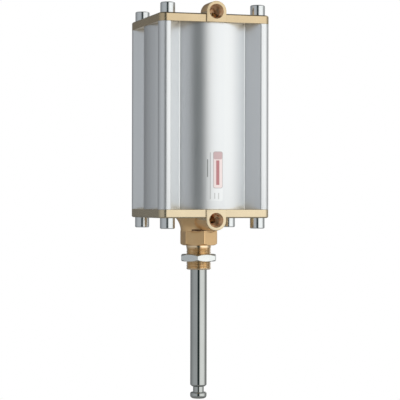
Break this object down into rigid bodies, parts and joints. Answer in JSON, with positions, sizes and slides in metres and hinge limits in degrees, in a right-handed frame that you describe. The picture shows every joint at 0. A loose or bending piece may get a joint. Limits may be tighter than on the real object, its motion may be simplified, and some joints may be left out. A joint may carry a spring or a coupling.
{
  "type": "pneumatic cylinder",
  "caption": "Double-acting pneumatic cylinder: square profile barrel, brass covers with side ports, threaded nose with lock nut, and a rod ending in a knob behind a neck.",
  "frame": {"origin": "on the cylinder's axis, in the plane of the hexagon's shoulder that seats on a panel", "axes": "+Z along the axis from the nose towards the upper cover, -Y out of the ports, +X to the right as seen from the ports"},
  "size_m": [0.1084, 0.1099, 0.3786],
  "materials": {
    "profile_aluminium": "clear-anodised extrusion, fine vertical draw lines",
    "cover_brass": "hot-pressed and machined brass, satin",
    "screw_steel": "zinc-plated steel",
    "rod_steel": "ground and hard-chromed",
    "nut_steel": "zinc-plated steel",
    "piston_aluminium": "turned",
    "bearing_bronze": "sintered bronze",
    "magnet_ferrite": "sintered ferrite",
    "guide_plastic": "acetal",
    "seal_rubber": "nitrile rubber",
    "bumper_rubber": "polyurethane rubber"
  },
  "bodies": {
    "housing": {"barrel": "profile_aluminium", "upper_cover": "cover_brass", "lower_cover": "cover_brass", "upper_cover_screws": "screw_steel", "lower_cover_screws": "screw_steel", "upper_cover_o_ring": "seal_rubber", "lower_cover_o_ring": "seal_rubber", "upper_bumper": "bumper_rubber", "lower_bumper": "bumper_rubber", "rod_wiper": "seal_rubber", "rod_bush": "bearing_bronze", "rod_seal": "seal_rubber", "seal_washer": "screw_steel", "seal_circlip": "screw_steel"},
    "piston_rings": {"piston_guide_ring": "guide_plastic", "lower_piston_seal": "seal_rubber", "upper_piston_seal": "seal_rubber"},
    "rod_and_piston": {"piston_rod": "rod_steel", "lower_piston": "piston_aluminium", "upper_piston": "piston_aluminium", "piston_magnet": "magnet_ferrite", "piston_o_ring": "seal_rubber", "piston_washer": "screw_steel", "piston_nut": "screw_steel"},
    "lock_nut": {"lock_nut": "nut_steel"}
  },
  "joints": [
    {"name": "rod_slide", "type": "slide", "parent": "housing", "child": "piston_rings", "axis": [0, 0, 1], "range_m": [0, 0.1]},
    {"name": "rod_turn", "type": "hinge", "parent": "piston_rings", "child": "rod_and_piston", "pos_m": [0, 0, 0.0728], "axis": [0, 0, 1], "continuous": true},
    {"name": "lock_nut_travel", "type": "slide", "parent": "housing", "child": "lock_nut", "axis": [0, 0, 1], "range_m": [-0.0068, 0.0082]}
  ]
}
